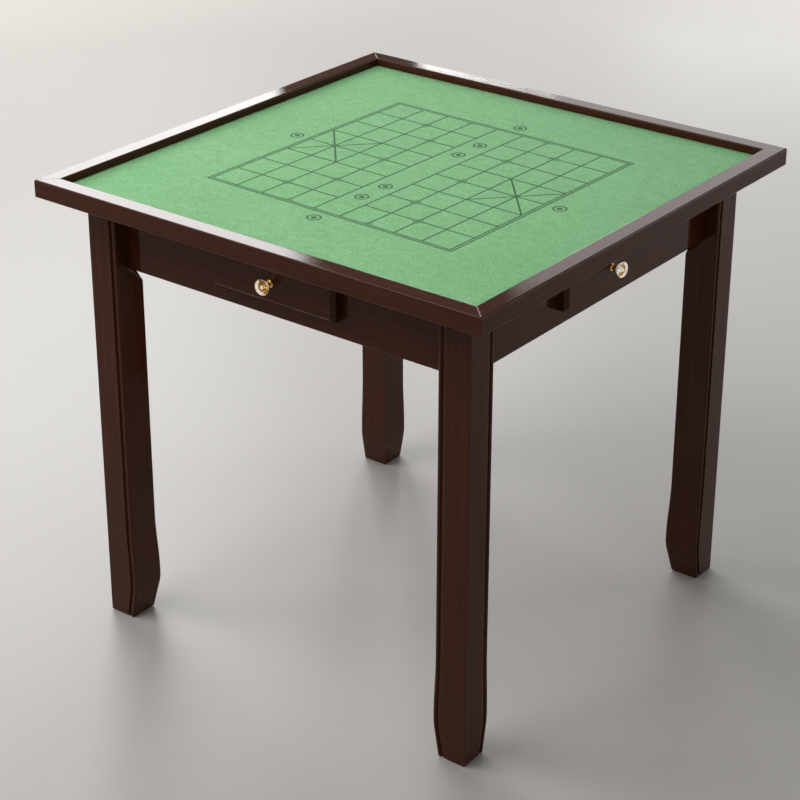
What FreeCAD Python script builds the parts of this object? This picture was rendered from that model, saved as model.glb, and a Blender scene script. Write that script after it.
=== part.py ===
import FreeCAD, Part
import math
import os
import re
import Sketcher

# A square playing table with a raised mitred rim, a baize top, four square legs and a drawer in each side.
# Millimetres. +Z is up, the origin is on the floor under the centre, and the front side faces -Y.
# Every piece is drawn for the front side (or the front left corner) and turned about Z to its own side.

SIDES = {"front": 0, "right": 90, "back": 180, "left": 270}
CORNERS = {"front_left": 0, "front_right": 90, "back_right": 180, "back_left": 270}
CORNER_SIGNS = {0: (-1, -1), 90: (1, -1), 180: (1, 1), 270: (-1, 1)}

SIZES = {
    # top
    "table_side": 812,
    "table_height": 745,
    "rim_width": 28,
    "rim_height": 28,
    "rim_round": 2.2,
    "felt_drop": 12,
    "felt_thick": 1.5,
    "felt_gap": 0.3,
    "tongue_reach": 6,
    "tongue_height": 8,
    "tongue_lift": 3,
    "joint_gap": 0.1,
    "over_cut": 1,
    "spline_along": 18,
    "spline_across": 16,
    "spline_thick": 4,
    "spline_lift": 15,
    # legs
    "leg_inset": 53,
    "leg_width": 54,
    "swell_out": 3,
    "swell_height": 64,
    "swell_top": 172,
    "ankle_width": 55.2,
    "ankle_height": 44,
    "foot_width": 47.5,
    "bead_width": 6,
    "quirk_width": 5.5,
    "quirk_depth": 3,
    "bead_round": 2.6,
    "arris_round": 1.2,
    "glide_radius": 13,
    "glide_thick": 4,
    "glide_stand": 1.5,
    # apron frame
    "apron_recess": 26,
    "apron_thick": 20,
    "apron_height": 113,
    "opening_width": 206,
    "opening_height": 51,
    "opening_middle": 61.5,
    "block_side": 60,
    "block_height": 84,
    "block_lift": 8,
    "cleat_side": 20,
    "cleat_length": 480,
    "rail_thick": 12,
    "rail_height": 68,
    "rail_lift": 20,
    "runner_side": 11,
    "runner_gap": 0.3,
    # fasteners
    "bolt_radius": 4,
    "bolt_play": 0.2,
    "bolt_length": 116,
    "bolt_start": 6.5,
    "bolt_low": 24,
    "bolt_high": 76,
    "washer_radius": 9,
    "washer_thick": 2,
    "nut_radius": 7.5,
    "nut_thick": 6.5,
    "nut_facets": 6,
    "screw_radius": 2,
    "screw_length": 28,
    "screw_head": 4,
    "screw_sink": 2.4,
    "screw_spread": 180,
    # drawers
    "face_width": 226,
    "face_height": 66,
    "face_thick": 19,
    "face_gap": 0.3,
    "face_bevel": 5.6,
    "tray_width": 204,
    "tray_length": 190,
    "tray_wall": 10,
    "tray_back": 12,
    "tray_height": 46,
    "tray_lift": 2,
    "stop_lip": 6,
    "floor_thick": 4,
    "floor_lift": 5,
    "floor_bite": 4,
    # knobs
    "rose_radius": 5.8,
    "rose_thick": 2,
    "neck_thin": 3.6,
    "neck_wide": 5.2,
    "neck_length": 7,
    "knob_back": 5.6,
    "knob_girdle": 12.2,
    "knob_front": 9.6,
    "knob_swell": 10,
    "knob_nose": 4,
    "knob_facets": 12,
}

# Places that several pieces share, as formulas over the sizes.
RIM_OUT = "(table_side / 2)"
RIM_IN = "(table_side / 2 - rim_width)"
RIM_BASE = "(table_height - rim_height)"
CLEAT_BASE = f"({RIM_BASE} - cleat_side)"
FELT_BASE = "(table_height - felt_drop - felt_thick)"
LEG_OUT = "(table_side / 2 - leg_inset)"
APRON_OUT = "(table_side / 2 - leg_inset - apron_recess)"
APRON_IN = "(table_side / 2 - leg_inset - apron_recess - apron_thick)"
APRON_BASE = "(table_height - rim_height - apron_height)"
OPENING_MID = f"({APRON_BASE} + opening_middle)"
OPENING_BASE = f"({OPENING_MID} - opening_height / 2)"
TRAY_BASE = f"({OPENING_BASE} + tray_lift)"
TRAY_TOP = f"({TRAY_BASE} + tray_height)"
TRAY_END = f"({APRON_OUT} - tray_length)"
TRAY_IN = "(tray_width / 2 - tray_wall)"
RAIL_IN = "(opening_width / 2)"
RAIL_OUT = "(opening_width / 2 + rail_thick)"
RAIL_BASE = f"({APRON_BASE} + rail_lift)"
FACE_BACK = f"({APRON_OUT} + face_gap)"
FACE_FRONT = f"({FACE_BACK} + face_thick)"

# The share of a length laid along a corner's diagonal that falls on each axis.
DIAGONAL = 0.7072
# How close a point must be to a plane to count as on it.
NEAR = 0.05

doc = FreeCAD.newDocument("PlayingTable")
sheet = doc.addObject("Spreadsheet::Sheet", "sizes")
for row, (alias, value) in enumerate(SIZES.items(), start=1):
    sheet.set(f"A{row}", alias)
    sheet.set(f"B{row}", str(value))
    sheet.setAlias(f"B{row}", alias)
doc.recompute()

nodes = []


def formula(text):
    """Writes an expression over the sheet's aliases."""
    return re.sub(r"[a-z]\w*", lambda word: "sizes." + word.group(), str(text))


def bind(piece, **texts):
    for name, text in texts.items():
        piece.setExpression(name, formula(text))
    return piece


def place(piece, x, y, z, rotation=None):
    """Turns a piece and binds its base point to the sheet."""
    piece.Placement = FreeCAD.Placement(FreeCAD.Vector(), rotation or FreeCAD.Rotation())
    for axis, text in zip("xyz", (x, y, z)):
        piece.setExpression(f"Placement.Base.{axis}", formula(text))
    return piece


def turn(angle):
    return FreeCAD.Rotation(FreeCAD.Vector(0, 0, 1), angle)


def node(piece, label, angle=None):
    """Names a finished piece, and turns it to its side when an angle is given."""
    piece.Label = label
    if angle is not None:
        piece.Placement = FreeCAD.Placement(FreeCAD.Vector(), turn(angle))
    nodes.append(piece)
    return piece


def block(name, x, y, z):
    """A box between pairs of formulas."""
    box = doc.addObject("Part::Box", name)
    low, high = zip(x, y, z)
    sizes = [f"{top} - ({base})" for base, top in zip(low, high)]
    bind(box, Length=sizes[0], Width=sizes[1], Height=sizes[2])
    return place(box, *low)


def rod(name, radius, length, x, y, z, rotation=None, facets=None):
    """A cylinder, or a prism when a number of facets is given."""
    solid = doc.addObject("Part::Prism" if facets else "Part::Cylinder", name)
    if facets:
        bind(solid, Circumradius=radius, Height=length, Polygon=facets)
    else:
        bind(solid, Radius=radius, Height=length)
    return place(solid, x, y, z, rotation)


def side_block(name, angle, along, out, z):
    """A box on one side, from its span along the side and its span out from the centre."""
    (start, end), (near, far) = along, out
    x, y = {
        0: ((start, end), (f"-({far})", f"-({near})")),
        90: ((near, far), (start, end)),
        180: ((f"-({end})", f"-({start})"), (near, far)),
        270: ((f"-({far})", f"-({near})"), (f"-({end})", f"-({start})")),
    }[angle]
    return block(name, x, y, z)


def side_point(angle, along, out):
    """Formulas for the point on a side at a distance along it and out from the centre."""
    sine = round(math.sin(math.radians(angle)))
    cosine = round(math.cos(math.radians(angle)))
    return (
        f"({cosine}) * ({along}) + ({sine}) * ({out})",
        f"({sine}) * ({along}) - ({cosine}) * ({out})",
    )


def gather(name, pieces):
    """Several separate solids as one object."""
    group = doc.addObject("Part::Compound", name)
    group.Links = pieces
    return group


def fuse(name, pieces):
    joined = doc.addObject("Part::MultiFuse", name)
    joined.Shapes = pieces
    return joined


def carve(name, base, tools):
    """Takes one tool or several off a base piece."""
    result = doc.addObject("Part::Cut", name)
    result.Base = base
    result.Tool = tools[0] if len(tools) == 1 else fuse(name + "_tools", tools)
    return result


def new_body(name):
    return doc.addObject("PartDesign::Body", name)


def plane_of(body, role):
    return next(item for item in body.Origin.OriginFeatures if item.Role == role)


def new_sketch(body, name, role, lift="0"):
    """A sketch on one of its body's origin planes, lifted off it by a formula."""
    sketch = body.newObject("Sketcher::SketchObject", name)
    sketch.AttachmentSupport = [(plane_of(body, role), "")]
    sketch.MapMode = "FlatFace"
    sketch.setExpression("AttachmentOffset.Base.z", formula(lift))
    return sketch


def hold(sketch, kind, index, position, text, start=0):
    """Holds a point's distance from the sketch's origin to a formula, starting from a number."""
    constraint = sketch.addConstraint(Sketcher.Constraint(kind, -1, 1, index, position, start))
    sketch.setExpression(f"Constraints[{constraint}]", formula(text))


def outline(body, name, role, vertices, lift="0"):
    """A closed polygon on an origin plane, each corner held to a pair of formulas."""
    sketch = new_sketch(body, name, role, lift)
    count = len(vertices)
    start = [
        FreeCAD.Vector(math.cos(math.tau * k / count), math.sin(math.tau * k / count)) * 100
        for k in range(count)
    ]
    for k in range(count):
        sketch.addGeometry(Part.LineSegment(start[k], start[(k + 1) % count]))
    for k in range(count):
        sketch.addConstraint(Sketcher.Constraint("Coincident", k, 2, (k + 1) % count, 1))
    for k, corner in enumerate(vertices):
        hold(sketch, "DistanceX", k, 1, corner[0])
        hold(sketch, "DistanceY", k, 1, corner[1])
    doc.recompute()
    return sketch


def pad(body, name, sketch, length, reverse=False, midplane=False):
    feature = body.newObject("PartDesign::Pad", name)
    feature.Profile = sketch
    feature.Reversed = reverse
    feature.Midplane = midplane
    bind(feature, Length=length)
    doc.recompute()
    return feature


def pocket(body, name, sketch, length, reverse=False, midplane=False):
    """Cuts a sketch into its body, and stops if nothing was cut."""
    before = body.Shape.Volume
    feature = body.newObject("PartDesign::Pocket", name)
    feature.Profile = sketch
    feature.Reversed = reverse
    feature.Midplane = midplane
    bind(feature, Length=length)
    doc.recompute()
    if body.Shape.Volume > before - 1:
        raise ValueError(f"{name} cuts nothing")
    return feature


def edges_where(shape, test):
    return [f"Edge{k}" for k, edge in enumerate(shape.Edges, start=1) if test(edge)]


def all_points(edge, test, samples=5):
    first, last = edge.ParameterRange
    return all(test(edge.valueAt(first + (last - first) * k / (samples - 1))) for k in range(samples))


def dress(body, kind, name, test, size):
    """A fillet or chamfer on each edge of the body that passes the test."""
    base = body.Tip
    feature = body.newObject(f"PartDesign::{kind}", name)
    feature.Base = (base, edges_where(base.Shape, test))
    bind(feature, **{"Radius" if kind == "Fillet" else "Size": size})
    doc.recompute()
    return feature


def lies_at(edge, **places):
    """True if the whole edge keeps to the given coordinates."""
    return all_points(
        edge, lambda p: all(abs(getattr(p, axis) - place) < NEAR for axis, place in places.items())
    )


# ---- top: rim, splines, panel and baize ----

rim_inner = SIZES["table_side"] / 2 - SIZES["rim_width"]
rim_bottom = SIZES["table_height"] - SIZES["rim_height"]


def mitred_plan(body, name, outer, inner, lift):
    """The plan of a front board whose ends are cut at 45 degrees."""
    corners = [
        (f"-{outer}", f"-{outer}"),
        (outer, f"-{outer}"),
        (inner, f"-{inner}"),
        (f"-{inner}", f"-{inner}"),
    ]
    return outline(body, name, "XY_Plane", corners, lift)


def rim_board(name):
    """One mitred board, grooved for the panel's tongue and slotted across each mitre for a spline."""
    body = new_body(name + "_board")
    plan = mitred_plan(body, name + "_plan", RIM_OUT, RIM_IN, RIM_BASE)
    pad(body, name + "_pad", plan, "rim_height")

    def long_edge(edge):
        return edge.Length > rim_inner and not lies_at(edge, y=-rim_inner, z=rim_bottom)

    dress(body, "Fillet", name + "_round", long_edge, "rim_round")
    deep = f"-{RIM_IN} - tongue_reach"
    open_side = f"-{RIM_IN} + 1"
    low = f"{RIM_BASE} + tongue_lift"
    high = f"{RIM_BASE} + tongue_lift + tongue_height"
    section = [(deep, low), (open_side, low), (open_side, high), (deep, high)]
    groove = outline(body, name + "_groove_section", "YZ_Plane", section)
    pocket(body, name + "_groove", groove, "table_side", midplane=True)
    slots = [spline(f"{name}_slot_{angle}", angle, "joint_gap") for angle in (0, 90)]
    return carve(name, body, slots)


def spline(name, angle, slack):
    """A thin tongue across the mitre at a corner; with slack, the slot that takes it."""
    sign_x, sign_y = CORNER_SIGNS[angle]
    middle = f"({RIM_OUT} - rim_width / 2 - 1)"
    half_along = f"(spline_along / 2 + {slack})"
    half_across = f"(spline_across / 2 + {slack})"
    slant = math.radians(45 + angle)
    cosine = f"({math.cos(slant):.9f})"
    sine = f"({math.sin(slant):.9f})"
    tongue = doc.addObject("Part::Box", name)
    bind(
        tongue,
        Length=f"2 * {half_along}",
        Width=f"2 * {half_across}",
        Height=f"spline_thick + 2 * {slack}",
    )
    return place(
        tongue,
        f"{sign_x} * {middle} - {half_along} * {cosine} + {half_across} * {sine}",
        f"{sign_y} * {middle} - {half_along} * {sine} - {half_across} * {cosine}",
        f"{RIM_BASE} + spline_lift - {slack}",
        turn(45 + angle),
    )


def cleat_rods(name, radius, low, length):
    """Upright rods at the two screws of each cleat."""
    rods = []
    for angle in SIDES.values():
        for end in (-1, 1):
            x, y = side_point(angle, f"{end} * screw_spread", f"{APRON_IN} - cleat_side / 2")
            rods.append(rod(f"{name}_{len(rods)}", radius, length, x, y, low))
    return rods


def cleat_holes(name):
    start = f"{CLEAT_BASE} - over_cut"
    return cleat_rods(name, "screw_radius + joint_gap", start, "screw_length + over_cut + joint_gap")


def panel():
    """The board under the baize, with a tongue all round that sits in the rim's groove."""
    edge = f"({RIM_IN} - joint_gap)"
    lip = f"({RIM_IN} + tongue_reach - joint_gap)"
    low = f"{RIM_BASE} + tongue_lift + joint_gap"
    high = f"{RIM_BASE} + tongue_lift + tongue_height - joint_gap"
    core = block("panel_core", (f"-{edge}", edge), (f"-{edge}", edge), (RIM_BASE, FELT_BASE))
    tongue = block("panel_tongue", (f"-{lip}", lip), (f"-{lip}", lip), (low, high))
    return carve("panel_bored", fuse("panel_solid", [core, tongue]), cleat_holes("panel_hole"))


def cleats():
    """Strips inside the aprons that hold the panel down."""
    along = ("-cleat_length / 2", "cleat_length / 2")
    out = (f"{APRON_IN} - cleat_side", APRON_IN)
    strips = [
        side_block(f"cleat_{side}", angle, along, out, (CLEAT_BASE, RIM_BASE))
        for side, angle in SIDES.items()
    ]
    start = f"{CLEAT_BASE} - over_cut"
    depth = "over_cut + screw_sink + joint_gap"
    sinks = cleat_rods("cleat_sink", "screw_head + joint_gap", start, depth)
    return carve("cleats_bored", gather("cleat_strips", strips), cleat_holes("cleat_hole") + sinks)


def cleat_screws():
    """Wood screws driven up through the cleats into the panel, heads sunk."""
    shanks = cleat_rods("cleat_shank", "screw_radius", CLEAT_BASE, "screw_length")
    heads = cleat_rods("cleat_head", "screw_head", CLEAT_BASE, "screw_sink")
    pairs = enumerate(zip(shanks, heads))
    return gather("cleat_screws_all", [fuse(f"cleat_screw_{k}", list(pair)) for k, pair in pairs])


for side, angle in SIDES.items():
    node(rim_board(f"rim_{side}_board"), f"rim_{side}", angle)
node(gather("splines_all", [spline(f"spline_{c}", a, "0") for c, a in CORNERS.items()]), "rim_splines")
node(panel(), "top_panel")
baize_edge = f"({RIM_IN} - felt_gap)"
baize_span = (f"-{baize_edge}", baize_edge)
node(block("baize", baize_span, baize_span, (FELT_BASE, f"{FELT_BASE} + felt_thick")), "felt_sheet")
node(cleats(), "top_cleats")
node(cleat_screws(), "cleat_screws")

# ---- apron frame: aprons, corner blocks, rails and runners ----


def corner_rods(name, radius, length, start, angles, facets=None):
    """Rods at 45 degrees through the corners, two to a corner, from a depth inside the leg."""
    rods = []
    for angle in angles:
        sign_x, sign_y = CORNER_SIGNS[angle]
        inward = FreeCAD.Rotation(FreeCAD.Vector(0, 0, 1), FreeCAD.Vector(-sign_x, -sign_y, 0))
        for height in ("bolt_low", "bolt_high"):
            x = f"{sign_x} * ({LEG_OUT} - ({start}))"
            y = f"{sign_y} * ({LEG_OUT} - ({start}))"
            z = f"{APRON_BASE} + {height}"
            rods.append(rod(f"{name}_{len(rods)}", radius, length, x, y, z, inward, facets))
    return rods


def bolt_holes(name, angles):
    return corner_rods(name + "_hole", "bolt_radius + bolt_play", "bolt_length", "bolt_start", angles)


def apron(name):
    """A mitred board with the drawer's opening through it and bolt holes along its mitres."""
    body = new_body(name + "_body")
    plan = mitred_plan(body, name + "_plan", APRON_OUT, APRON_IN, APRON_BASE)
    pad(body, name + "_pad", plan, "apron_height")
    left = "-opening_width / 2"
    right = "opening_width / 2"
    top = f"{OPENING_BASE} + opening_height"
    window = [(left, OPENING_BASE), (right, OPENING_BASE), (right, top), (left, top)]
    mouth = outline(body, name + "_window", "XZ_Plane", window)
    pocket(body, name + "_mouth", mouth, "table_side", midplane=True)
    apron_front = -(SIZES["table_side"] / 2 - SIZES["leg_inset"] - SIZES["apron_recess"])
    apron_bottom = rim_bottom - SIZES["apron_height"]
    dress(
        body,
        "Fillet",
        name + "_round",
        lambda e: lies_at(e, y=apron_front, z=apron_bottom),
        "arris_round",
    )
    return carve(name, body, bolt_holes(name, (0, 90)))


def corner_blocks():
    """Three-cornered glue blocks inside the frame, bored for the leg bolts."""
    blocks = []
    for corner, angle in CORNERS.items():
        body = new_body(f"block_{corner}")
        inner = f"-{APRON_IN}"
        reach = f"{inner} + block_side"
        corners = [(inner, inner), (reach, inner), (inner, reach)]
        plan = outline(body, f"block_{corner}_plan", "XY_Plane", corners, f"{APRON_BASE} + block_lift")
        pad(body, f"block_{corner}_pad", plan, "block_height")
        body.Placement = FreeCAD.Placement(FreeCAD.Vector(), turn(angle))
        blocks.append(body)
    return carve("blocks_bored", gather("blocks_all", blocks), bolt_holes("blocks", CORNERS.values()))


def runners(side, angle):
    """The two strips that a drawer's sides slide on."""
    height = (f"{TRAY_BASE} - runner_gap - runner_side", f"{TRAY_BASE} - runner_gap")
    out = (f"{RAIL_OUT} + rail_thick", APRON_IN)
    strips = [
        side_block(f"runner_{side}_left", angle, (f"-{RAIL_IN}", f"-{RAIL_IN} + runner_side"), out, height),
        side_block(f"runner_{side}_right", angle, (f"{RAIL_IN} - runner_side", RAIL_IN), out, height),
    ]
    return gather(f"runners_{side}_pair", strips)


rail_span = (RAIL_BASE, f"{RAIL_BASE} + rail_height")
for side, angle in SIDES.items():
    node(apron(f"apron_{side}_board"), f"apron_{side}", angle)
node(corner_blocks(), "corner_blocks")
for side in ("right", "left"):
    length = (f"-{APRON_IN}", APRON_IN)
    out = (RAIL_IN, RAIL_OUT)
    node(side_block(f"long_{side}", SIDES[side], length, out, rail_span), f"long_rail_{side}")
for side in ("front", "back"):
    length = (f"-{RAIL_IN}", RAIL_IN)
    out = (RAIL_OUT, f"{RAIL_OUT} + rail_thick")
    node(side_block(f"cross_{side}", SIDES[side], length, out, rail_span), f"cross_rail_{side}")
short_rails = [
    side_block(f"short_{side}_{end}", SIDES[side], span, (RAIL_OUT, APRON_IN), rail_span)
    for side in ("right", "left")
    for end, span in (("near", (f"-{RAIL_OUT}", f"-{RAIL_IN}")), ("far", (RAIL_IN, RAIL_OUT)))
]
node(gather("short_rails_all", short_rails), "short_rails")
for side, angle in SIDES.items():
    node(runners(side, angle), f"runners_{side}")

# ---- legs and what fastens them ----


def leg_points():
    """The numbers behind the leg's inner outline, from the foot up, to start its sketches from."""
    low = SIZES["glide_stand"]
    wide = SIZES["leg_width"] + SIZES["swell_out"]
    middle = (SIZES["swell_height"] + SIZES["swell_top"]) / 2
    return [
        (SIZES["foot_width"], low),
        (SIZES["ankle_width"], SIZES["ankle_height"]),
        (wide, SIZES["swell_height"]),
        (wide - SIZES["swell_out"] / 2, middle),
        (SIZES["leg_width"], SIZES["swell_top"]),
        (SIZES["leg_width"], rim_bottom),
    ]


def leg_formulas():
    middle = "(swell_height + swell_top) / 2"
    return [
        ("foot_width", "glide_stand"),
        ("ankle_width", "ankle_height"),
        ("leg_width + swell_out", "swell_height"),
        ("leg_width + swell_out / 2", middle),
        ("leg_width", "swell_top"),
        ("leg_width", RIM_BASE),
    ]


def arc_through(low, high, centre_height):
    """The arc from one point up to another whose centre is at a given height."""
    (x1, z1), (x2, z2) = low, high
    rise1, rise2 = z1 - centre_height, z2 - centre_height
    centre_x = (x2**2 - x1**2 + rise2**2 - rise1**2) / (2 * (x2 - x1))
    radius = math.hypot(x1 - centre_x, rise1)
    angles = [math.atan2(rise1, x1 - centre_x), math.atan2(rise2, x2 - centre_x)]
    if centre_x > x1:
        angles = [angle % math.tau for angle in reversed(angles)]
    circle = Part.Circle(FreeCAD.Vector(centre_x, centre_height), FreeCAD.Vector(0, 0, 1), radius)
    return Part.ArcOfCircle(circle, *angles), centre_x > x1


def add_leg_curve(sketch, inset, inset_number):
    """The leg's inner outline, moved out by an inset: a tapered foot, a swell and a straight run."""
    points = [(x - inset_number, z) for x, z in leg_points()]
    centres = [None, SIZES["swell_height"], SIZES["swell_height"], SIZES["swell_top"], None]
    heights = [None, "swell_height", "swell_height", "swell_top", None]
    ends = []
    for k, (low, high) in enumerate(zip(points, points[1:])):
        if centres[k] is None:
            line = Part.LineSegment(FreeCAD.Vector(*low), FreeCAD.Vector(*high))
            ends.append((sketch.addGeometry(line), 1, 2))
            continue
        arc, swapped = arc_through(low, high, centres[k])
        index = sketch.addGeometry(arc)
        ends.append((index, 2, 1) if swapped else (index, 1, 2))
        hold(sketch, "DistanceY", index, 3, heights[k], centres[k])
    for (below, _, top), (above, bottom, _) in zip(ends, ends[1:]):
        sketch.addConstraint(Sketcher.Constraint("Coincident", below, top, above, bottom))
    corners = [(ends[0][0], ends[0][1])] + [(index, top) for index, _, top in ends]
    for (index, position), (x, z), start in zip(corners, leg_formulas(), points):
        hold(sketch, "DistanceX", index, position, f"{x} - ({inset})", start[0])
        hold(sketch, "DistanceY", index, position, z, start[1])
    return corners[0], corners[-1], points


def leg_region(body, name, role, left=None, right=None):
    """A region of the leg's elevation between two edges: each an inset of the inner outline, or plain."""
    sketch = new_sketch(body, name, role)
    bounds = []
    for inset, plain in ((left, 0), (right, 2 * SIZES["leg_width"])):
        if inset is not None:
            number = sum(SIZES[word] for word in inset)
            bounds.append(add_leg_curve(sketch, " + ".join(inset) or "0", number))
            continue
        low = FreeCAD.Vector(plain, SIZES["glide_stand"])
        high = FreeCAD.Vector(plain, rim_bottom)
        index = sketch.addGeometry(Part.LineSegment(low, high))
        for position, height, start in ((1, "glide_stand", low), (2, RIM_BASE, high)):
            hold(sketch, "DistanceX", index, position, "0" if plain == 0 else "2 * leg_width", plain)
            hold(sketch, "DistanceY", index, position, height, start.y)
        bounds.append(((index, 1), (index, 2), [(low.x, low.y), (high.x, high.y)]))
    (bottom_1, top_1, points_1), (bottom_2, top_2, points_2) = bounds
    for first, second, start, end in (
        (bottom_1, bottom_2, points_1[0], points_2[0]),
        (top_1, top_2, points_1[-1], points_2[-1]),
    ):
        index = sketch.addGeometry(Part.LineSegment(FreeCAD.Vector(*start), FreeCAD.Vector(*end)))
        sketch.addConstraint(Sketcher.Constraint("Coincident", first[0], first[1], index, 1))
        sketch.addConstraint(Sketcher.Constraint("Coincident", second[0], second[1], index, 2))
    doc.recompute()
    return sketch


def bead_edge(shape):
    """A test for the two long edges of each bead, the narrow strips along the leg's outer faces."""
    strips = [
        face
        for face in shape.Faces
        if (face.BoundBox.YMax < NEAR and face.BoundBox.XMin > SIZES["quirk_depth"] + 1)
        or (face.BoundBox.XMax < NEAR and face.BoundBox.YMin > SIZES["quirk_depth"] + 1)
    ]
    edges = [edge for face in strips for edge in face.Edges if edge.BoundBox.ZLength > 1]
    return lambda edge: any(edge.isSame(other) for other in edges)


def leg(name):
    """A square leg, its two inner faces swelling and then tapering to the foot, with a bead down each."""
    body = new_body(name + "_body")
    elevation = leg_region(body, name + "_elevation", "XZ_Plane", right=())
    pad(body, name + "_pad", elevation, "leg_width + swell_out", reverse=True)
    waste = leg_region(body, name + "_waste", "YZ_Plane", left=())
    pocket(body, name + "_trim", waste, "4 * leg_width", midplane=True)
    for role in ("XZ_Plane", "YZ_Plane"):
        inner, outer = ("bead_width", "quirk_width"), ("bead_width",)
        quirk = leg_region(body, f"{name}_quirk_{role}", role, inner, outer)
        pocket(body, f"{name}_quirk_cut_{role}", quirk, "2 * quirk_depth", midplane=True)
    dress(body, "Fillet", name + "_bead", bead_edge(body.Tip.Shape), "bead_round")
    dress(body, "Fillet", name + "_arris", lambda e: lies_at(e, x=0, y=0), "arris_round")
    wide = "2 * leg_width"
    square = [
        ("apron_recess", "apron_recess"),
        (wide, "apron_recess"),
        (wide, wide),
        ("apron_recess", wide),
    ]
    notch = outline(body, name + "_notch_plan", "XY_Plane", square, APRON_BASE)
    pocket(body, name + "_notch", notch, "apron_height", reverse=True)
    place(body, f"-{LEG_OUT}", f"-{LEG_OUT}", "0")
    recess = glide(name + "_glide_recess", 0, "glide_radius + joint_gap", "glide_stand")
    return carve(name, body, [shoulder(name + "_shoulder"), recess] + bolt_holes(name, (0,)))


def shoulder(name):
    """The pyramid that slopes the foot of the leg's notch at 45 degrees."""
    wedge = doc.addObject("Part::Wedge", name)
    full = "leg_width + over_cut"
    bind(
        wedge,
        Xmin="apron_recess",
        Xmax=full,
        X2min=full,
        X2max=full,
        Zmin="apron_recess",
        Zmax=full,
        Z2min=full,
        Z2max=full,
        Ymin=f"-{APRON_BASE}",
        Ymax=f"{full} - apron_recess - {APRON_BASE}",
    )
    upright = FreeCAD.Rotation(FreeCAD.Vector(1, 0, 0), -90)
    return place(wedge, f"-{LEG_OUT}", f"-{LEG_OUT}", "0", upright)


def glide(name, angle, radius="glide_radius", base="0"):
    """A round glide let into the foot."""
    sign_x, sign_y = CORNER_SIGNS[angle]
    middle = f"({LEG_OUT} - foot_width / 2)"
    height = f"glide_thick - ({base})"
    return rod(name, radius, height, f"{sign_x} * {middle}", f"{sign_y} * {middle}", base)


for corner, angle in CORNERS.items():
    node(leg(f"leg_{corner}_made"), f"leg_{corner}", angle)
node(gather("glides_all", [glide(f"glide_{c}", a) for c, a in CORNERS.items()]), "foot_glides")

block_face = "(apron_recess + apron_thick + block_side / 2)"
nut_start = f"({block_face} + washer_thick * {DIAGONAL})"
all_corners = list(CORNERS.values())
bolts = corner_rods("bolt", "bolt_radius", "bolt_length", "bolt_start", all_corners)
node(gather("bolts_all", bolts), "leg_bolts")
for label, solid, radius, thick, start, facets in (
    ("bolt_washers", "washer", "washer_radius", "washer_thick", block_face, None),
    ("bolt_nuts", "nut", "nut_radius", "nut_thick", nut_start, "nut_facets"),
):
    discs = corner_rods(solid, radius, thick, start, all_corners, facets)
    bore_radius = "bolt_radius + joint_gap"
    bores = corner_rods(solid + "_bore", bore_radius, "bolt_length", "bolt_start", all_corners)
    node(carve(label + "_bored", gather(label + "_discs", discs), bores), label)

# ---- drawers: an overlay face on a tray, and a glass knob on a brass neck ----


def outward(angle):
    """Turns +Z to point out of a side."""
    return turn(angle) * FreeCAD.Rotation(FreeCAD.Vector(1, 0, 0), 90)


def knob_part(piece, angle, distance):
    """Stands a turned piece out from the middle of a drawer's face."""
    x, y = side_point(angle, "0", f"{FACE_FRONT} + ({distance})")
    return place(piece, x, y, OPENING_MID, outward(angle))


def knob_hole(name):
    depth = "face_thick + tray_wall + neck_length + 2"
    hole = rod(name, "screw_radius + joint_gap", depth, "0", "0", "0")
    return knob_part(hole, 0, "-face_thick - tray_wall - 1")


def drawer_face(name):
    body = new_body(name + "_body")
    left = "-face_width / 2"
    right = "face_width / 2"
    low = f"{OPENING_MID} - face_height / 2"
    high = f"{OPENING_MID} + face_height / 2"
    corners = [(left, low), (right, low), (right, high), (left, high)]
    front = outline(body, name + "_outline", "XZ_Plane", corners)
    front.setExpression("AttachmentOffset.Base.z", formula(FACE_BACK))
    pad(body, name + "_pad", front, "face_thick")
    face_front = body.Shape.BoundBox.YMin
    dress(body, "Chamfer", name + "_bevel", lambda e: lies_at(e, y=face_front), "face_bevel")
    return carve(name, body, [knob_hole(name + "_hole")])


def tray_sides(name):
    out = (TRAY_END, FACE_BACK)
    boards = [
        side_block(name + "_left", 0, ("-tray_width / 2", f"-{TRAY_IN}"), out, (TRAY_BASE, TRAY_TOP)),
        side_block(name + "_right", 0, (TRAY_IN, "tray_width / 2"), out, (TRAY_BASE, TRAY_TOP)),
    ]
    bite = f"{TRAY_IN} + floor_bite"
    height = (f"{TRAY_BASE} + floor_lift", f"{TRAY_BASE} + floor_lift + floor_thick")
    run = (f"{TRAY_END} + tray_back", f"{FACE_BACK} - tray_wall")
    grooves = side_block(name + "_grooves", 0, (f"-({bite})", bite), run, height)
    return carve(name, gather(name + "_boards", boards), [grooves])


def tray_ends(name):
    """The board behind the face, and the back board, whose raised edge stops the drawer."""
    span = (f"-{TRAY_IN}", TRAY_IN)
    front_run = (f"{FACE_BACK} - tray_wall", FACE_BACK)
    back_run = (TRAY_END, f"{TRAY_END} + tray_back")
    boards = [
        side_block(name + "_front", 0, span, front_run, (TRAY_BASE, TRAY_TOP)),
        side_block(name + "_back", 0, span, back_run, (TRAY_BASE, f"{TRAY_TOP} + stop_lip")),
    ]
    return carve(name, gather(name + "_boards", boards), [knob_hole(name + "_hole")])


def tray_floor(name, angle):
    bite = f"{TRAY_IN} + floor_bite - joint_gap"
    out = (f"{TRAY_END} + tray_back", f"{FACE_BACK} - tray_wall")
    low = f"{TRAY_BASE} + floor_lift"
    return side_block(name, angle, (f"-({bite})", bite), out, (low, f"{low} + floor_thick"))


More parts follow.
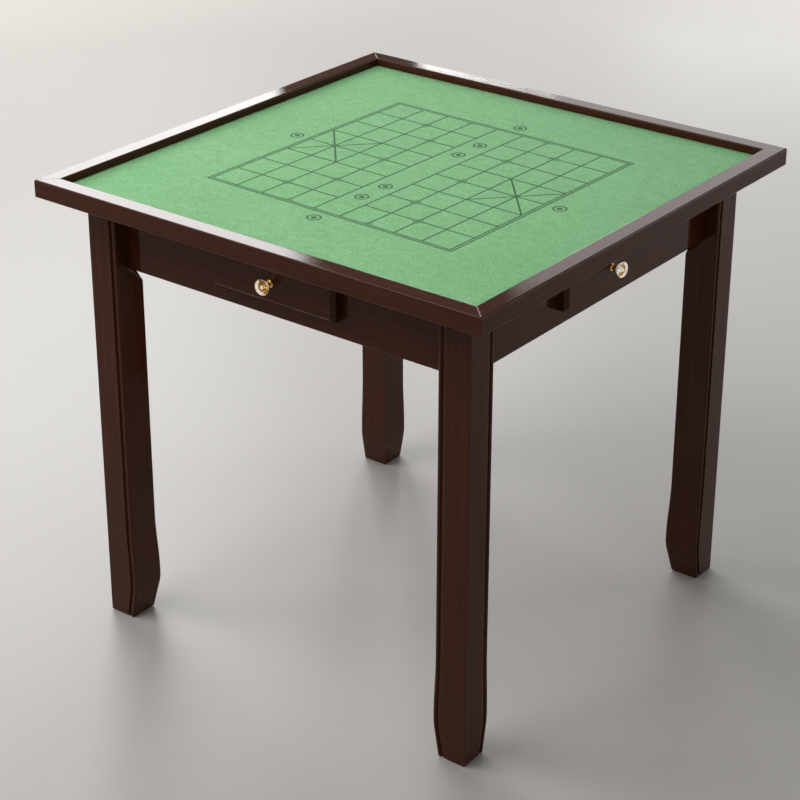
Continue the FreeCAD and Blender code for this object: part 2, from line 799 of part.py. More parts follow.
def knob_neck(name, angle):
    """A rose and a flared neck, bored for the screw."""
    rose = rod(name + "_rose", "rose_radius", "rose_thick", "0", "0", "0")
    neck = doc.addObject("Part::Cone", name + "_neck")
    bind(neck, Radius1="neck_thin", Radius2="neck_wide", Height="neck_length")
    place(neck, "0", "0", "rose_thick")
    bore = rod(name + "_bore", "screw_radius + joint_gap", "neck_length + joint_gap", "0", "0", "0")
    return knob_part(carve(name, fuse(name + "_solid", [rose, neck]), [bore]), angle, "0")


def knob_glass(name, angle):
    """A faceted glass head: narrow behind, widest at the girdle, with a flat nose."""
    rings = []
    heights = {"knob_back": "0", "knob_girdle": "knob_swell", "knob_front": "knob_swell + knob_nose"}
    for radius, height in heights.items():
        ring = doc.addObject("Part::RegularPolygon", f"{name}_{radius}")
        bind(ring, Polygon="knob_facets", Circumradius=radius)
        rings.append(place(ring, "0", "0", height))
    head = doc.addObject("Part::Loft", name)
    head.Sections = rings
    head.Solid = True
    head.Ruled = True
    return knob_part(head, angle, "rose_thick + neck_length")


def knob_screw(name, angle):
    """A pan-headed screw from inside the tray through to the neck."""
    head = rod(name + "_head", "screw_head", "screw_sink", "0", "0", "-screw_sink")
    shank = rod(name + "_shank", "screw_radius", "face_thick + tray_wall + neck_length", "0", "0", "0")
    return knob_part(fuse(name, [head, shank]), angle, "-face_thick - tray_wall")


for side, angle in SIDES.items():
    node(drawer_face(f"face_{side}"), f"drawer_face_{side}", angle)
    node(tray_sides(f"tray_sides_{side}"), f"drawer_sides_{side}", angle)
    node(tray_ends(f"tray_ends_{side}"), f"drawer_ends_{side}", angle)
    node(tray_floor(f"tray_floor_{side}", angle), f"drawer_bottom_{side}")
    node(knob_neck(f"neck_{side}", angle), f"knob_neck_{side}")
    node(knob_glass(f"glass_{side}", angle), f"knob_glass_{side}")
    node(knob_screw(f"knob_screw_made_{side}", angle), f"knob_screw_{side}")

# ---- checks and files ----

doc.recompute()
for item in doc.Objects:
    if "Invalid" in item.State or "Error" in item.State:
        raise ValueError(f"{item.Name} failed to compute")
for piece in nodes:
    if piece.Shape.isNull() or not piece.Shape.isValid():
        raise ValueError(f"{piece.Label} has no valid shape")

os.makedirs("parts", exist_ok=True)
for piece in nodes:
    piece.Shape.exportStep(f"parts/{piece.Label}.step")
print(len(nodes), "sub-parts written")
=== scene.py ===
import math

import bmesh
import bpy
from mathutils import Matrix, Vector, noise


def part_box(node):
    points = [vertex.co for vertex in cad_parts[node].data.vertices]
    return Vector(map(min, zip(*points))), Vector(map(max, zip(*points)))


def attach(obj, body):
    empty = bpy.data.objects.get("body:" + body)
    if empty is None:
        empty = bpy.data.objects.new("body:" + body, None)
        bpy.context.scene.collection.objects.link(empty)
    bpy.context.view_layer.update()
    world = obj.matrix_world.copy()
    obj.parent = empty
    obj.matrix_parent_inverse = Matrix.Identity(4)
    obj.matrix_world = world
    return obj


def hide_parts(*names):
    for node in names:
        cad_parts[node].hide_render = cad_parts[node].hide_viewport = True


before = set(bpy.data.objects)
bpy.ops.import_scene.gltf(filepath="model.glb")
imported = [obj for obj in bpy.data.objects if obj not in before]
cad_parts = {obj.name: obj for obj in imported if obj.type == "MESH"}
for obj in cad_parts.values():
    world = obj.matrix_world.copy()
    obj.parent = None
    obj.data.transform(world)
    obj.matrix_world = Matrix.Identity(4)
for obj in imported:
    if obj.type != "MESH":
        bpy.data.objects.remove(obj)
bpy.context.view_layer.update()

SIDES = {"front": 0, "right": 90, "back": 180, "left": 270}

# ---------------------------------------------------------------- material tools


class Graph:
    """A new material with a Principled shader, and short ways to add nodes to it."""

    def __init__(self, name):
        self.material = bpy.data.materials.new(name)
        self.material.use_nodes = True
        self.tree = self.material.node_tree
        self.tree.nodes.clear()
        self.shader = self.add("ShaderNodeBsdfPrincipled")
        output = self.add("ShaderNodeOutputMaterial")
        self.tree.links.new(self.shader.outputs[0], output.inputs[0])
        self.place = self.add("ShaderNodeTexCoord").outputs["Object"]

    def put(self, socket, value):
        if isinstance(value, bpy.types.NodeSocket):
            self.tree.links.new(value, socket)
        else:
            socket.default_value = value

    def add(self, kind, settings=None, **inputs):
        made = self.tree.nodes.new(kind)
        for key, value in (settings or {}).items():
            setattr(made, key, value)
        for key, value in inputs.items():
            self.put(made.inputs[key.replace("_", " ")], value)
        return made

    def math(self, operation, *values):
        made = self.tree.nodes.new("ShaderNodeMath")
        made.operation = operation
        for socket, value in zip(made.inputs, values):
            self.put(socket, value)
        return made.outputs[0]

    def weighted(self, *terms):
        """The sum of (value, weight) pairs."""
        total = None
        for value, weight in terms:
            part = self.math("MULTIPLY", value, weight)
            total = part if total is None else self.math("ADD", total, part)
        return total

    def vector(self, operation, *values):
        made = self.add("ShaderNodeVectorMath", {"operation": operation})
        for socket, value in zip(made.inputs, values):
            self.put(socket, value)
        return made.outputs

    def stretch(self, scale):
        """Object coordinates multiplied along each axis."""
        return self.vector("MULTIPLY", self.place, scale)[0]

    def even(self, scale):
        return self.stretch((scale, scale, scale))

    def noise(self, vector, detail=3.0, rough=0.5, distort=0.0):
        made = self.add(
            "ShaderNodeTexNoise",
            Vector=vector,
            Scale=1.0,
            Detail=detail,
            Roughness=rough,
            Distortion=distort,
        )
        return made.outputs["Fac"]

    def remap(self, value, low, high, to_low=0.0, to_high=1.0, smooth=False):
        kind = "SMOOTHSTEP" if smooth else "LINEAR"
        made = self.add("ShaderNodeMapRange", {"interpolation_type": kind})
        names = ("Value", "From Min", "From Max", "To Min", "To Max")
        for name, number in zip(names, (value, low, high, to_low, to_high)):
            self.put(made.inputs[name], number)
        return made.outputs[0]

    def mix(self, share, first, second):
        """Mixes two colours."""
        made = self.add("ShaderNodeMix", {"data_type": "RGBA"})
        self.put(made.inputs[0], share)
        self.put(made.inputs[6], first)
        self.put(made.inputs[7], second)
        return made.outputs[2]

    def ramp(self, value, *stops):
        made = self.add("ShaderNodeValToRGB", Fac=value)
        elements = made.color_ramp.elements
        while len(elements) < len(stops):
            elements.new(0.5)
        for element, (position, colour) in zip(elements, stops):
            element.position = position
            element.color = (*colour, 1.0)
        return made.outputs["Color"]

    def bump(self, height, strength, distance, normal=None):
        made = self.add("ShaderNodeBump", Height=height, Strength=strength, Distance=distance)
        if normal is not None:
            self.put(made.inputs["Normal"], normal)
        return made.outputs["Normal"]

    def shader_set(self, **inputs):
        for key, value in inputs.items():
            self.put(self.shader.inputs[key.replace("_", " ")], value)


def grain_scale(axis, along, across):
    return tuple(along if name == axis else across for name in "XYZ")


# ---------------------------------------------------------------- woods

STAIN_DARK = (0.034, 0.0098, 0.0044)
STAIN_MIDDLE = (0.052, 0.0145, 0.0064)
STAIN_LIGHT = (0.074, 0.0210, 0.0092)
STAIN_IN_PORES = (0.022, 0.0065, 0.0035, 1.0)
STAIN_RUBBED = (0.20, 0.055, 0.026, 1.0)
LACQUER_IOR = 1.26
EDGE_RADIUS = 0.0016


def stained_wood(name, axis):
    """Espresso stain over an open grain, under a semi-gloss lacquer that fills it."""
    g = Graph(name)
    streaks = g.noise(g.stretch(grain_scale(axis, 5.0, 150.0)), detail=5.0, rough=0.6, distort=0.3)
    fine = g.noise(g.stretch(grain_scale(axis, 26.0, 900.0)), rough=0.55)
    clouds = g.noise(g.stretch(grain_scale(axis, 3.0, 9.0)), detail=2.0)
    tone = g.weighted((streaks, 0.55), (fine, 0.3), (clouds, 0.15))
    stain = g.ramp(tone, (0.30, STAIN_DARK), (0.50, STAIN_MIDDLE), (0.72, STAIN_LIGHT))
    pores = g.noise(g.stretch(grain_scale(axis, 60.0, 2600.0)), detail=1.0)
    pore_mask = g.remap(pores, 0.60, 0.70, smooth=True)
    colour = g.mix(g.math("MULTIPLY", pore_mask, 0.5), stain, STAIN_IN_PORES)

    # the stain is rubbed thin in patches along the edges
    rounded = g.add("ShaderNodeBevel", {"samples": 4}, Radius=EDGE_RADIUS).outputs[0]
    flat = g.add("ShaderNodeNewGeometry").outputs["Normal"]
    lean = g.vector("DOT_PRODUCT", rounded, flat)["Value"]
    patches = g.remap(g.noise(g.even(40.0)), 0.35, 0.65, 0.25, 0.8)
    rub = g.math("MULTIPLY", g.remap(lean, 0.995, 0.90), patches)
    colour = g.mix(rub, colour, STAIN_RUBBED)

    smears = g.noise(g.even(9.0), detail=4.0, rough=0.6)
    gloss = g.remap(smears, 0.3, 0.7, 0.035, 0.085)
    ripple = g.noise(g.stretch(grain_scale(axis, 25.0, 160.0)), detail=1.0)
    normal = g.bump(ripple, 0.02, 0.002, rounded)
    normal = g.bump(pores, 0.05, 0.0003, normal)
    g.shader_set(Base_Color=colour, Roughness=gloss, Normal=normal, IOR=LACQUER_IOR)
    return g.material


def raw_wood(name, axis):
    """Pale unfinished wood for the parts inside."""
    g = Graph(name)
    rings = g.noise(g.stretch(grain_scale(axis, 3.0, 90.0)), detail=4.0, rough=0.55, distort=0.5)
    fibres = g.noise(g.stretch(grain_scale(axis, 40.0, 1500.0)), detail=2.0)
    tone = g.weighted((rings, 0.7), (fibres, 0.3))
    early, middle, late = (0.62, 0.46, 0.29), (0.52, 0.36, 0.21), (0.36, 0.225, 0.12)
    colour = g.ramp(tone, (0.32, late), (0.5, middle), (0.7, early))
    rough = g.remap(fibres, 0.3, 0.7, 0.55, 0.75)
    g.shader_set(Base_Color=colour, Roughness=rough, Normal=g.bump(fibres, 0.25, 0.0004))
    return g.material


def board_material():
    """Pressed board: fine chips in a brown binder."""
    g = Graph("pressed_board")
    cells = g.add("ShaderNodeTexVoronoi", Vector=g.stretch((330.0, 330.0, 900.0)), Scale=1.0)
    chips = cells.outputs["Distance"]
    patch = g.noise(g.even(14.0), detail=4.0)
    tone = g.weighted((chips, 0.6), (patch, 0.5))
    binder, middle, chip = (0.23, 0.14, 0.075), (0.38, 0.26, 0.15), (0.50, 0.37, 0.23)
    colour = g.ramp(tone, (0.3, binder), (0.55, middle), (0.8, chip))
    rough = g.remap(patch, 0.3, 0.7, 0.6, 0.8)
    g.shader_set(Base_Color=colour, Roughness=rough, Normal=g.bump(chips, 0.2, 0.0004))
    return g.material


# ---------------------------------------------------------------- metal, plastic and glass


def fine_finish(name, scale, detail, colours, roughness, bump):
    """A finish whose colour and roughness vary with one fine grain."""
    g = Graph(name)
    grain = g.noise(g.even(scale), detail=detail)
    low, high = colours
    g.shader_set(Base_Color=g.ramp(grain, (0.3, low), (0.7, high)))
    g.shader_set(Roughness=g.remap(grain, 0.3, 0.7, *roughness), Normal=g.bump(grain, *bump))
    return g


def brass_material():
    colours = ((0.78, 0.52, 0.17), (0.92, 0.68, 0.28))
    g = fine_finish("polished_brass", 700.0, 3.0, colours, (0.10, 0.22), (0.05, 0.0002))
    g.shader_set(Metallic=1.0)
    return g.material


def zinc_material():
    colours = ((0.42, 0.43, 0.43), (0.66, 0.66, 0.62))
    g = fine_finish("zinc_plate", 900.0, 3.0, colours, (0.25, 0.45), (0.08, 0.0002))
    g.shader_set(Metallic=1.0)
    return g.material


def nylon_material():
    colours = ((0.012, 0.012, 0.013), (0.025, 0.025, 0.026))
    return fine_finish("black_nylon", 1500.0, 2.0, colours, (0.4, 0.55), (0.15, 0.0003)).material


def crystal_material():
    g = Graph("knob_crystal_glass")
    haze = g.noise(g.even(400.0), detail=2.0)
    g.shader_set(Base_Color=(0.99, 0.985, 0.97, 1.0), IOR=1.52, Transmission_Weight=1.0)
    g.shader_set(Roughness=g.remap(haze, 0.3, 0.7, 0.0, 0.03))
    return g.material


def glowing_silvering_material():
    """The silvering behind the facets of the crystal, with a painted glow that makes it emit light of its
    own.
    """
    g = Graph("knob_silvering_painted_glow")
    cloud = g.noise(g.even(260.0))
    colour = g.ramp(cloud, (0.3, (0.93, 0.88, 0.78)), (0.6, (0.98, 0.96, 0.91)))
    g.shader_set(Base_Color=colour, Roughness=g.remap(cloud, 0.3, 0.7, 0.03, 0.10))
    g.shader_set(Metallic=0.7, Normal=g.bump(cloud, 0.06, 0.0004))
    # painted glow: the silvering emits a little light, though it is no lamp
    g.shader_set(Emission_Color=(1.0, 0.96, 0.90, 1.0), Emission_Strength=0.30)
    return g.material


# ---------------------------------------------------------------- felt

GRID_CENTRE = (0.0028, 0.0055, 0.0)
GRID_TURN = (0.0, 0.0, math.radians(-1.3))
CELL_U = 0.0500
CELL_V = 0.0559
END_U = 4.5 * CELL_U
END_V = 4 * CELL_V
BORDER_U = 0.2300
BORDER_V = 0.2285
LINE = 0.0015
TICK_GAP = 0.0036
TICK_REACH = 0.0092
TICK_LINE = 0.0006
RING_RADIUS = 0.0098
DOT_RADIUS = 0.0042
LANE_DOTS_V = (0.089, 0.144)
OUTER_DOT_U = 0.2530
OUTER_DOT_V = 0.2510
INK_WOBBLE = (0.0006, 0.0006, 0.0)

DYE_DARK = (0.112, 0.325, 0.122)
DYE_MIDDLE = (0.192, 0.455, 0.197)
DYE_LIGHT = (0.290, 0.600, 0.290)
INK = (0.010, 0.072, 0.015, 1.0)
NAP_TINT = (0.85, 1.0, 0.85, 1.0)


def printed_grid(g):
    """A mask of the print on the felt: a 9 by 8 grid with an open middle lane, and small marks."""
    plan = g.add(
        "ShaderNodeMapping",
        {"vector_type": "TEXTURE"},
        Vector=g.place,
        Location=GRID_CENTRE,
        Rotation=GRID_TURN,
    )
    wobble = g.add("ShaderNodeTexNoise", Vector=g.place, Scale=260.0, Detail=2.0)
    point = g.vector("MULTIPLY_ADD", wobble.outputs["Color"], INK_WOBBLE, plan.outputs[0])[0]
    u, v, _ = g.add("ShaderNodeSeparateXYZ", Vector=point).outputs
    au, av = g.math("ABSOLUTE", u), g.math("ABSOLUTE", v)

    def stroke(distance, half=LINE):
        size = g.math("ABSOLUTE", distance)
        return g.remap(size, half * 0.6, half * 1.4, 1.0, 0.0, smooth=True)

    def below(value, limit):
        return g.math("LESS_THAN", value, limit)

    def above(value, limit):
        return g.math("GREATER_THAN", value, limit)

    def join(operation, masks):
        result = masks[0]
        for mask in masks[1:]:
            result = g.math(operation, result, mask)
        return result

    def both(*masks):
        return join("MULTIPLY", masks)

    def either(*masks):
        return join("MAXIMUM", masks)

    def fold(value, period, phase):
        """Distance to the nearest multiple of a period."""
        turns = g.math("ADD", g.math("DIVIDE", value, period), phase)
        return g.math("MULTIPLY", g.math("PINGPONG", turns, 0.5), period)

    def away(value, place):
        return g.math("ABSOLUTE", g.math("SUBTRACT", value, place))

    inside = both(below(au, END_U + LINE), below(av, END_V + LINE))
    rows = both(stroke(fold(u, CELL_U, 0.5)), inside)
    lane = either(above(au, CELL_U / 2), above(av, 3.5 * CELL_V))
    columns = both(stroke(fold(v, CELL_V, 0.0)), inside, lane)
    frame_u = both(stroke(away(au, BORDER_U)), below(av, BORDER_V + LINE))
    frame_v = both(stroke(away(av, BORDER_V)), below(au, BORDER_U + LINE))

    # crossed lines in the block of four cells at each end
    reach_u = away(au, 3.5 * CELL_U)
    slope = math.hypot(CELL_U, CELL_V)
    across = g.weighted((reach_u, CELL_V / slope), (av, -CELL_U / slope))
    crosses = both(stroke(across), below(reach_u, CELL_U), below(av, CELL_V))

    # corner ticks round the starting points
    def ticks(a, b):
        arms = []
        for first, second in ((a, b), (b, a)):
            span = both(above(first, TICK_GAP - TICK_LINE), below(first, TICK_REACH))
            arms.append(both(span, stroke(g.math("SUBTRACT", second, TICK_GAP), TICK_LINE)))
        return either(*arms)

    marks = either(
        ticks(away(au, 1.5 * CELL_U), fold(v, 2 * CELL_V, 0.0)),
        ticks(away(au, 2.5 * CELL_U), away(av, 3 * CELL_V)),
    )
    marks = both(marks, inside)

    # plain dots, each in a ring, in the lane and outside each edge
    def ringed_dot(a, b):
        squares = g.math("MULTIPLY_ADD", a, a, g.math("MULTIPLY", b, b))
        reach = g.math("SQRT", squares)
        ring = stroke(g.math("SUBTRACT", reach, RING_RADIUS))
        return either(ring, g.remap(reach, DOT_RADIUS, DOT_RADIUS * 1.2, 1.0, 0.0))

    dots = either(
        *(ringed_dot(au, away(av, place)) for place in (*LANE_DOTS_V, OUTER_DOT_V)),
        ringed_dot(away(au, OUTER_DOT_U), av),
    )
    return either(rows, columns, frame_u, frame_v, crosses, marks, dots)


def felt_material():
    """Napped green baize with a grid printed into the pile."""
    g = Graph("green_baize")
    fuzz = g.noise(g.even(1300.0), detail=4.0, rough=0.7)
    tufts = g.noise(g.even(330.0), rough=0.6)
    nap = g.noise(g.stretch((60.0, 80.0, 20.0)), detail=4.0, rough=0.6)
    broad = g.noise(g.even(4.0), detail=2.0)
    tone = g.weighted((fuzz, 0.30), (tufts, 0.46), (nap, 0.16), (broad, 0.08))
    dye = g.ramp(tone, (0.37, DYE_DARK), (0.5, DYE_MIDDLE), (0.64, DYE_LIGHT))
    ink = g.math("MULTIPLY", printed_grid(g), g.remap(fuzz, 0.35, 0.65, 1.0, 0.88))
    pile = g.bump(g.weighted((fuzz, 0.6), (tufts, 0.4)), 0.8, 0.0011)
    rough = g.remap(fuzz, 0.3, 0.7, 0.82, 0.97)
    g.shader_set(Base_Color=g.mix(ink, dye, INK), Roughness=rough, Normal=pile)
    g.shader_set(Sheen_Weight=0.12, Sheen_Roughness=0.45, Sheen_Tint=NAP_TINT)
    g.shader_set(Specular_IOR_Level=0.3)
    return g.material


# ---------------------------------------------------------------- finishes on the CAD nodes

stained = {axis: stained_wood(f"stained_wood_{axis}", axis) for axis in "XYZ"}
raw = {axis: raw_wood(f"raw_wood_{axis}", axis) for axis in "XYZ"}
brass = brass_material()
zinc = zinc_material()
nylon = nylon_material()
crystal = crystal_material()
glowing_silvering = glowing_silvering_material()
felt = felt_material()
board = board_material()


def finish_node(name, material):
    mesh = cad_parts[name].data
    mesh.materials.clear()
    mesh.materials.append(material)


for side, angle in SIDES.items():
    along, out = ("X", "Y") if angle % 180 == 0 else ("Y", "X")
    finish_node(f"rim_{side}", stained[along])
    finish_node(f"apron_{side}", stained[along])
    finish_node(f"drawer_face_{side}", stained[along])
    finish_node(f"runners_{side}", raw[out])
    finish_node(f"drawer_sides_{side}", raw[out])
    finish_node(f"drawer_ends_{side}", raw[along])
    finish_node(f"drawer_bottom_{side}", raw[along])
    finish_node(f"knob_neck_{side}", brass)
    finish_node(f"knob_screw_{side}", zinc)
    finish_node(f"knob_glass_{side}", crystal)
for corner in ("front_left", "front_right", "back_right", "back_left"):
    finish_node(f"leg_{corner}", stained["Z"])
for name, material in {
    "rim_splines": raw["X"],
    "top_panel": board,
    "felt_sheet": felt,
    "top_cleats": raw["X"],
    "cleat_screws": zinc,
    "corner_blocks": raw["Z"],
    "long_rail_right": raw["Y"],
    "long_rail_left": raw["Y"],
    "cross_rail_front": raw["X"],
    "cross_rail_back": raw["X"],
    "short_rails": raw["X"],
    "foot_glides": nylon,
    "leg_bolts": zinc,
    "bolt_washers": zinc,
    "bolt_nuts": zinc,
}.items():
    finish_node(name, material)

# ---------------------------------------------------------------- felt sheet

CLOTH_CELLS = 150
CLOTH_THICKNESS = 0.0013
ROLL_DROP = 0.0005
ROLL_REACH = 0.004
SWELL = 0.00018
SWELL_PER_METRE = 9.0


def felt_cloth():
    """The baize as one thin sheet that follows the board, with a soft rolled edge along the rim."""
    low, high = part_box("felt_sheet")
    mesh = bpy.data.meshes.new("felt_cloth")
    build = bmesh.new()
    rows = []
    for j in range(CLOTH_CELLS + 1):
        row = []
        for i in range(CLOTH_CELLS + 1):
            x = low.x + (high.x - low.x) * i / CLOTH_CELLS
            y = low.y + (high.y - low.y) * j / CLOTH_CELLS
            edge = min(x - low.x, high.x - x, y - low.y, high.y - y)
            drop = ROLL_DROP * math.exp(-edge / ROLL_REACH)
            swell = SWELL * noise.noise(Vector((x * SWELL_PER_METRE, y * SWELL_PER_METRE, 0.4)))
            row.append(build.verts.new((x, y, high.z + swell - drop)))
        rows.append(row)
    for lower, upper in zip(rows, rows[1:]):
        for k in range(CLOTH_CELLS):
            corners = (lower[k], lower[k + 1], upper[k + 1], upper[k])
            build.faces.new(corners).smooth = True
    build.to_mesh(mesh)
    build.free()
    sheet = bpy.data.objects.new("felt_cloth", mesh)
    bpy.context.scene.collection.objects.link(sheet)
    mesh.materials.append(felt)
    skin = sheet.modifiers.new("thickness", "SOLIDIFY")
    skin.thickness = CLOTH_THICKNESS
    skin.offset = -1.0
    return sheet


cloth = felt_cloth()
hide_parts("felt_sheet")
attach(cloth, "table")

# ---------------------------------------------------------------- cut crystal knobs

FACETS = 12
GLASS, GLOWING_SILVER, BRASS = range(3)
# radius as a share of the girdle, depth as a share of the length from the neck, a half facet's turn, and
# the finish of the band up to the next ring
CRYSTAL_RINGS = (
    (0.46, 0.00, 0, BRASS),
    (0.66, 0.27, 1, GLOWING_SILVER),
    (0.985, 0.70, 0, GLASS),
    (0.985, 0.79, 0, GLASS),
    (0.87, 0.92, 1, GLASS),
    (0.72, 1.00, 0, GLASS),
)
INSERT_RINGS = ((0.36, 0.00, 0), (0.25, 0.46, 0))


def cut_crystal(side, angle):
    """A round crystal with star facets, silvered behind with a painted glow, on a brass insert let into its
    back.
    """
    low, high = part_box(f"knob_glass_{side}")
    outward = Vector((math.sin(angle), -math.cos(angle), 0.0))
    sideways = Vector((math.cos(angle), math.sin(angle), 0.0))
    span = high - low
    length = abs(span.dot(outward))
    girdle = span.z / 2
    seat = (low + high) / 2 - outward * length / 2
    build = bmesh.new()

    def ring(radius, depth, half):
        made = []
        for k in range(FACETS):
            turn = math.tau * (k + half / 2) / FACETS
            rim_point = sideways * math.cos(turn) + Vector((0.0, 0.0, math.sin(turn)))
            made.append(build.verts.new(seat + outward * length * depth + rim_point * girdle * radius))
        return made

    def band(inner, outer, twist, finish):
        for k in range(FACETS):
            after = (k + 1) % FACETS
            if twist == 0:
                faces = [(inner[k], inner[after], outer[after], outer[k])]
            elif twist > 0:
                faces = [(inner[k], inner[after], outer[k]), (outer[k], inner[after], outer[after])]
            else:
                faces = [(inner[k], outer[after], outer[k]), (inner[k], inner[after], outer[after])]
            for corners in faces:
                build.faces.new(corners).material_index = finish

    shell = [ring(*numbers) for *numbers, _ in CRYSTAL_RINGS]
    for k, (inner, outer) in enumerate(zip(shell, shell[1:])):
        _, _, half, finish = CRYSTAL_RINGS[k]
        band(inner, outer, CRYSTAL_RINGS[k + 1][2] - half, finish)
    build.faces.new(shell[-1]).material_index = GLASS
    mouth, tip = [ring(*numbers) for numbers in INSERT_RINGS]
    band(shell[0], mouth, 0, BRASS)
    band(mouth, tip, 0, BRASS)
    build.faces.new(tip).material_index = GLOWING_SILVER
    bmesh.ops.recalc_face_normals(build, faces=build.faces)
    mesh = bpy.data.meshes.new(f"knob_crystal_{side}")
    build.to_mesh(mesh)
    build.free()
    for material in (crystal, glowing_silvering, brass):
        mesh.materials.append(material)
    head = bpy.data.objects.new(f"knob_crystal_{side}", mesh)
    bpy.context.scene.collection.objects.link(head)
    return head


for side, angle in SIDES.items():
    head = cut_crystal(side, math.radians(angle))
    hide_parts(f"knob_glass_{side}")
    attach(head, f"drawer_{side}")

# ---------------------------------------------------------------- floor

FLOOR_REACH = 12.0
FLOOR_IN_PAINTED_SHADE = (0.320, 0.302, 0.276)
FLOOR_PALE = (0.480, 0.466, 0.440)


def floor_plane():
    """A pale floor with painted shade in a darker band in front, semi-gloss near the table and matt further
    out.
    """
    g = Graph("pale_floor")
    cast = g.noise(g.even(1.2))
    x, y, _ = g.add("ShaderNodeSeparateXYZ", Vector=g.place).outputs
    # painted shade: the floor colour darkens in a band in front of the table; the noise on top is random
    # tone
    shade_band_offset = g.math("MULTIPLY_ADD", x, 0.3, g.math("ADD", y, 2.0))
    from_shade_band = g.math("SMOOTH_MAX", shade_band_offset, g.math("MULTIPLY", shade_band_offset, -1.0), 1.0)
    tone = g.math("MULTIPLY_ADD", cast, 0.12, g.remap(from_shade_band, 0.0, 5.0, 0.0, 0.88))
    colour = g.ramp(tone, (0.0, FLOOR_IN_PAINTED_SHADE), (1.0, FLOOR_PALE))
    radius = g.vector("LENGTH", g.place)["Value"]
    g.shader_set(Base_Color=colour, Roughness=g.remap(radius, 3.2, 4.4, 0.45, 1.0))
    mesh = bpy.data.meshes.new("floor")
    corners = [(-1, -1), (1, -1), (1, 1), (-1, 1)]
    places = [(u * FLOOR_REACH, v * FLOOR_REACH, 0.0) for u, v in corners]
    mesh.from_pydata(places, [], [(0, 1, 2, 3)])
    mesh.materials.append(g.material)
    floor = bpy.data.objects.new("floor", mesh)
    bpy.context.scene.collection.objects.link(floor)


floor_plane()

# ---------------------------------------------------------------- light

SKY_COLOUR = (0.97, 0.98, 1.0, 1.0)
SKY_STRENGTH = 0.19
BACKDROP_STRENGTH = 0.60
# name, place, the point it faces, width and height, watts: a window beyond the back left corner, pale walls
# beyond the back and right, and soft lamps above and in front
LAMPS = (
    ("window", (-3.65, 2.05, 2.25), (0.0, 0.0, 0.7), (2.6, 2.0), 118.0),
    ("wall_glow", (-1.25, 4.6, 2.25), (-1.08, 0.0, 0.7), (3.04, 1.9), 33.0),
    ("cabinet_glow", (-1.88, 2.85, 1.35), (0.0, 0.0, 0.7), (0.42, 0.7), 8.0),
    ("right_wall", (3.2, 3.7, 0.62), (0.3, 0.2, 1.84), (3.4, 1.15), 36.0),
    ("low_wall", (-0.3, 4.8, 0.58), (-0.3, 0.0, 1.87), (4.4, 1.0), 24.0),
    ("right_lamp", (2.6, 4.2, 2.9), (0.2, 0.1, 0.7), (0.9, 0.9), 12.0),
    ("left_window", (-3.0, -1.7, 1.9), (0.0, 0.0, 0.6), (1.8, 1.4), 36.0),
    ("ceiling", (0.3, -0.6, 3.6), (0.0, 0.0, 0.0), (3.4, 3.4), 8.0),
    ("near_ceiling", (-0.9, -1.3, 2.5), (-0.2, -0.3, 0.7), (1.6, 1.6), 33.0),
    ("front_lamp", (-1.2, -4.0, 2.6), (0.0, 0.0, 0.7), (0.7, 0.7), 12.0),
    ("side_lamp", (3.9, -1.6, 2.4), (0.0, 0.0, 0.7), (0.7, 0.7), 9.0),
)
# lamps that face away from the table, over the floor further out: name, place and target in plan, watts
FAR_LAMPS = (
    ("front_floor", (0.6, -3.6), (1.0, -7.0), 190.0),
    ("right_floor", (3.6, -0.6), (7.0, -1.0), 190.0),
    ("back_floor", (0.3, 5.0), (0.3, 8.6), 300.0),
    ("left_floor", (-4.8, 0.6), (-8.4, 0.6), 300.0),
)
FAR_LAMP_HEIGHT = 3.2
FAR_LAMP_SIZE = (6.0, 1.4)


def area_light(name, place, target, size, power):
    data = bpy.data.lights.new(name, "AREA")
    data.shape = "RECTANGLE"
    data.size, data.size_y = size
    data.energy = power
    lamp = bpy.data.objects.new(name, data)
    lamp.location = place
    lamp.rotation_euler = (Vector(target) - Vector(place)).to_track_quat("-Z", "Y").to_euler()
    lamp.visible_camera = False
    bpy.context.scene.collection.objects.link(lamp)


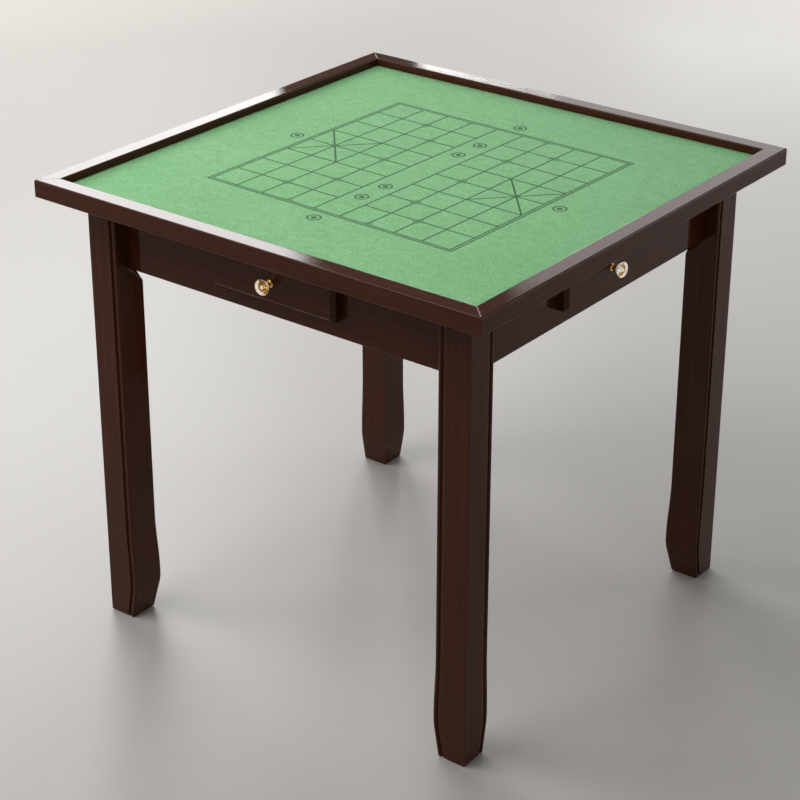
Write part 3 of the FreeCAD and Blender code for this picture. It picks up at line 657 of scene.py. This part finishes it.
def studio_world():
    """Soft even light all round, with a paler backdrop behind the scene."""
    world = bpy.data.worlds.new("studio")
    world.use_nodes = True
    tree = world.node_tree
    sky = tree.nodes["Background"]
    sky.inputs["Color"].default_value = SKY_COLOUR
    ray = tree.nodes.new("ShaderNodeLightPath")
    strength = tree.nodes.new("ShaderNodeMapRange")
    strength.inputs["To Min"].default_value = SKY_STRENGTH
    strength.inputs["To Max"].default_value = BACKDROP_STRENGTH
    tree.links.new(ray.outputs["Is Camera Ray"], strength.inputs["Value"])
    tree.links.new(strength.outputs[0], sky.inputs["Strength"])
    bpy.context.scene.world = world


studio_world()
bpy.context.scene.view_settings.view_transform = "Standard"
for lamp in LAMPS:
    area_light(*lamp)
for name, place, target, power in FAR_LAMPS:
    area_light(name, (*place, FAR_LAMP_HEIGHT), (*target, 0.0), FAR_LAMP_SIZE, power)

# ---------------------------------------------------------------- camera

CAMERA_PLACE = (1.8246, -2.4209, 1.8515)
CAMERA_AZIMUTH = 0.6407
CAMERA_ELEVATION = 0.4233
CAMERA_ROLL = 0.0081
SENSOR = 36.0
IMAGE = 800.0
# in pixels of the image, from its top left corner
FOCAL_PIXELS = 2129.7
CENTRE_X, CENTRE_Y = 428.5, 320.0

camera_data = bpy.data.cameras.new("camera")
camera_data.sensor_width = SENSOR
camera_data.lens = FOCAL_PIXELS / IMAGE * SENSOR
camera_data.shift_x = (IMAGE / 2 - CENTRE_X) / IMAGE
camera_data.shift_y = (CENTRE_Y - IMAGE / 2) / IMAGE
camera = bpy.data.objects.new("camera", camera_data)
back = Vector(
    (
        math.sin(CAMERA_AZIMUTH) * math.cos(CAMERA_ELEVATION),
        -math.cos(CAMERA_AZIMUTH) * math.cos(CAMERA_ELEVATION),
        math.sin(CAMERA_ELEVATION),
    )
)
right = Vector((math.cos(CAMERA_AZIMUTH), math.sin(CAMERA_AZIMUTH), 0.0))
up = back.cross(right)
turned_right = right * math.cos(CAMERA_ROLL) + up * math.sin(CAMERA_ROLL)
turned_up = up * math.cos(CAMERA_ROLL) - right * math.sin(CAMERA_ROLL)
turn = Matrix((turned_right, turned_up, back)).transposed().to_4x4()
camera.matrix_world = Matrix.Translation(CAMERA_PLACE) @ turn
bpy.context.scene.collection.objects.link(camera)
bpy.context.scene.camera = camera
